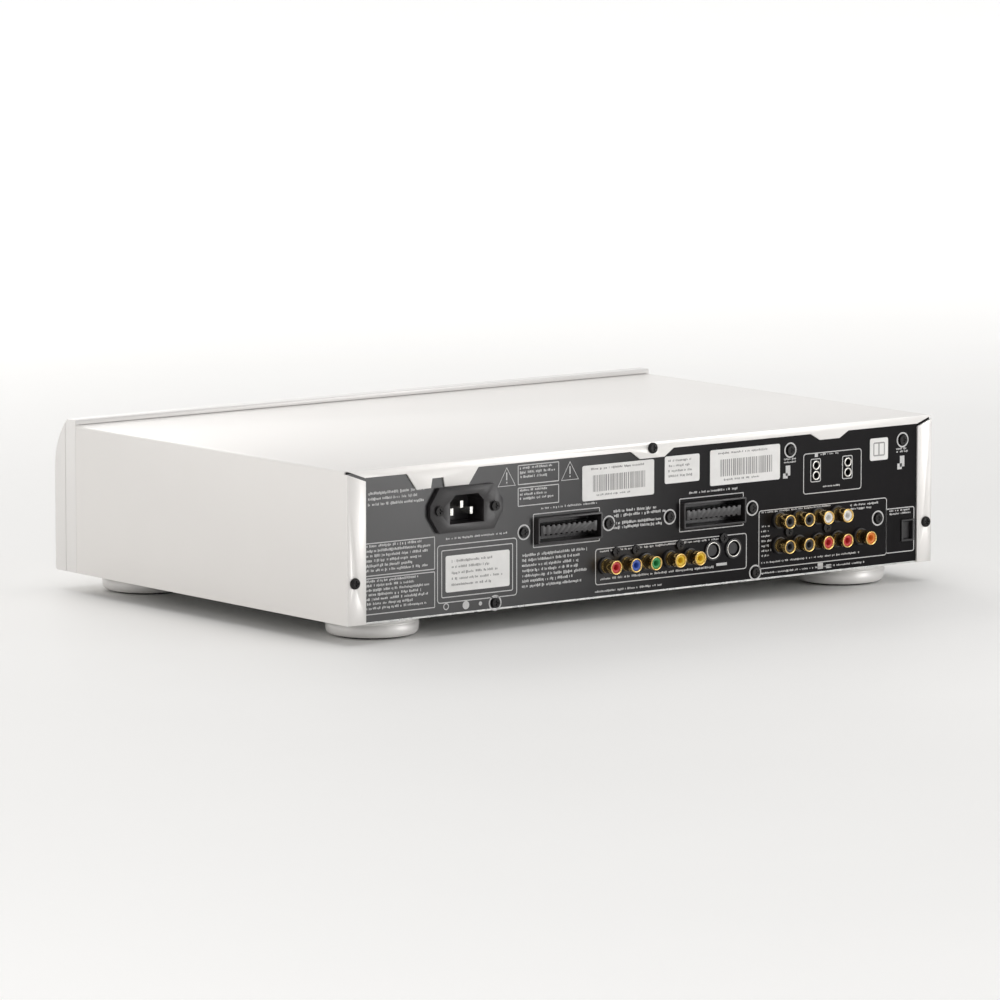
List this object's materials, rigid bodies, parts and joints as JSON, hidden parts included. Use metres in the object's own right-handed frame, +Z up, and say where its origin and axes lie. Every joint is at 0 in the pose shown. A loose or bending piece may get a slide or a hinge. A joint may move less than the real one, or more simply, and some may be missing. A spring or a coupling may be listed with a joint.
{
  "type": "hi-fi disc player",
  "caption": "Full-width hi-fi disc player: silver sheet cover, curved front, motorised disc drawer, and a black rear panel of phono, AV, optical and mains sockets",
  "frame": {"origin": "middle of the footprint, on the surface the feet stand on", "axes": "+X right seen from the front, +Y to the rear panel, +Z up"},
  "size_m": [0.434, 0.301, 0.103],
  "materials": {
    "silver_paint": "satin silver-white paint with a fine metallic grain",
    "silver_plastic": "satin silver-white paint over moulded plastic",
    "black_paint": "semi-gloss black paint with pale print",
    "zinc_sheet": "bare zinc-plated steel sheet",
    "black_plastic": "black moulded plastic",
    "smoke_window": "glossy dark smoke acrylic",
    "black_screws": "black-finished steel screws",
    "gold_plate": "thin bright gold plating",
    "nickel_steel": "polished nickel-plated steel",
    "foot_rubber": "soft dark rubber pad",
    "label_white": null,
    "circuit_board": "green solder-masked glass-epoxy board",
    "white_plastic": "off-white moulded acetal",
    "turned_aluminium": "turned aluminium with a rubber ring",
    "belt_rubber": "black drive belt rubber",
    "lens_glass": "coated moulded lens",
    "display_glass": "dark display glass",
    "core_steel": "varnished transformer laminations",
    "capacitor_sleeve": "dark shrink sleeve over aluminium cans",
    "heat_sink_metal": "black-grey anodised extruded aluminium",
    "ribbon_white": "flat white ribbon cable"
  },
  "bodies": {
    "case": {"top_cover": "silver_paint", "front_fascia": "silver_plastic", "bezel_frame": "silver_plastic", "feet": "silver_plastic", "rear_panel": "black_paint", "chassis_pan": "zinc_sheet", "sub_panel": "zinc_sheet", "clamp_bridge": "zinc_sheet", "mains_inlet": "black_plastic", "av_sockets": "black_plastic", "jack_blocks": "black_plastic", "svideo_sockets": "black_plastic", "remote_jacks": "black_plastic", "optical_socket": "black_plastic", "loader_frame": "black_plastic", "display_window": "smoke_window", "cover_screws": "black_screws", "panel_screws": "black_screws", "foot_screws": "black_screws", "jack_barrels": "gold_plate", "inlet_pins": "nickel_steel", "loading_motor": "nickel_steel", "board_standoffs": "nickel_steel", "foot_pads": "foot_rubber", "rear_labels": "label_white", "front_board": "circuit_board", "power_board": "circuit_board", "main_board": "circuit_board", "output_board": "circuit_board", "drive_belt": "belt_rubber", "display_module": "display_glass", "transformer": "core_steel", "capacitors": "capacitor_sleeve", "heat_sink": "heat_sink_metal", "front_ribbon_cable": "ribbon_white"},
    "tray": {"disc_tray": "black_plastic", "tray_cap": "silver_plastic"},
    "tray_gear": {"tray_gear": "white_plastic"},
    "pulley_gear": {"pulley_gear": "white_plastic"},
    "motor_pulley": {"motor_pulley": "white_plastic"},
    "deck": {"traverse_deck": "zinc_sheet", "hinge_pins": "nickel_steel", "guide_rods": "nickel_steel", "spindle_motor": "nickel_steel", "sled_motor": "nickel_steel"},
    "cam_slider": {"cam_slider": "white_plastic"},
    "turntable": {"turntable": "turned_aluminium"},
    "sled": {"pickup_sled": "black_plastic", "lens_holder": "black_plastic", "objective_lens": "lens_glass"},
    "leadscrew": {"leadscrew": "nickel_steel"},
    "clamper": {"clamper": "white_plastic", "clamper_cap": "black_plastic"},
    "shutter": {"optical_shutter": "black_plastic"},
    "power_button": {"power_button": "silver_plastic"},
    "open_close_button": {"open_close_button": "silver_plastic"},
    "stop_button": {"stop_button": "silver_plastic"},
    "play_button": {"play_button": "silver_plastic"},
    "skip_back_button": {"skip_back_button": "silver_plastic"},
    "skip_forward_button": {"skip_forward_button": "silver_plastic"}
  },
  "joints": [
    {"name": "tray_slide", "type": "slide", "parent": "case", "child": "tray", "axis": [0, -1, 0], "range_m": [0, 0.14]},
    {"name": "tray_gear_turn", "type": "hinge", "parent": "case", "child": "tray_gear", "pos_m": [-0.045, -0.116, 0.058], "axis": [0, 0, 1], "range_deg": [0, 669]},
    {"name": "pulley_gear_turn", "type": "hinge", "parent": "case", "child": "pulley_gear", "pos_m": [-0.027, -0.116, 0.058], "axis": [0, 0, 1], "range_deg": [-1338, 0]},
    {"name": "motor_pulley_turn", "type": "hinge", "parent": "case", "child": "motor_pulley", "pos_m": [0.013, -0.116, 0.055], "axis": [0, 0, 1], "range_deg": [-5350, 0]},
    {"name": "deck_tilt", "type": "hinge", "parent": "case", "child": "deck", "pos_m": [0, 0.031, 0.05], "axis": [1, 0, 0], "range_deg": [0, 5]},
    {"name": "cam_slide", "type": "slide", "parent": "case", "child": "cam_slider", "axis": [1, 0, 0], "range_m": [0, 0.02]},
    {"name": "spindle_spin", "type": "hinge", "parent": "deck", "child": "turntable", "pos_m": [0, -0.07875, 0.06], "axis": [0, 0, 1], "continuous": true},
    {"name": "sled_slide", "type": "slide", "parent": "deck", "child": "sled", "axis": [0, 1, 0], "range_m": [0, 0.036]},
    {"name": "leadscrew_turn", "type": "hinge", "parent": "deck", "child": "leadscrew", "pos_m": [0.0365, -0.04875, 0.044], "axis": [0, 1, 0], "range_deg": [0, 4321]},
    {"name": "clamper_spin", "type": "hinge", "parent": "case", "child": "clamper", "pos_m": [0, -0.07875, 0.072], "axis": [0, 0, 1], "continuous": true},
    {"name": "shutter_flap", "type": "hinge", "parent": "case", "child": "shutter", "pos_m": [-0.199, 0.137, 0.0365], "axis": [1, 0, 0], "range_deg": [0, 80], "stiffness_Nm_per_rad": 0.002},
    {"name": "power_button_press", "type": "slide", "parent": "case", "child": "power_button", "axis": [0, 1, 0], "range_m": [0, 0.0015], "stiffness_N_per_m": 400},
    {"name": "open_close_button_press", "type": "slide", "parent": "case", "child": "open_close_button", "axis": [0, 1, 0], "range_m": [0, 0.0015], "stiffness_N_per_m": 400},
    {"name": "stop_button_press", "type": "slide", "parent": "case", "child": "stop_button", "axis": [0, 1, 0], "range_m": [0, 0.0015], "stiffness_N_per_m": 400},
    {"name": "play_button_press", "type": "slide", "parent": "case", "child": "play_button", "axis": [0, 1, 0], "range_m": [0, 0.0015], "stiffness_N_per_m": 400},
    {"name": "skip_back_button_press", "type": "slide", "parent": "case", "child": "skip_back_button", "axis": [0, 1, 0], "range_m": [0, 0.0015], "stiffness_N_per_m": 400},
    {"name": "skip_forward_button_press", "type": "slide", "parent": "case", "child": "skip_forward_button", "axis": [0, 1, 0], "range_m": [0, 0.0015], "stiffness_N_per_m": 400}
  ],
  "couplings": [
    {"joint": "tray_gear_turn", "follows": "tray_slide", "rad_per_m": 83.333},
    {"joint": "pulley_gear_turn", "follows": "tray_slide", "rad_per_m": -166.67},
    {"joint": "motor_pulley_turn", "follows": "tray_slide", "rad_per_m": -666.67},
    {"joint": "cam_slide", "follows": "deck_tilt", "m_per_rad": 0.22918},
    {"joint": "leadscrew_turn", "follows": "sled_slide", "rad_per_m": 2094.4},
    {"joint": "clamper_spin", "follows": "spindle_spin", "ratio": 1}
  ]
}
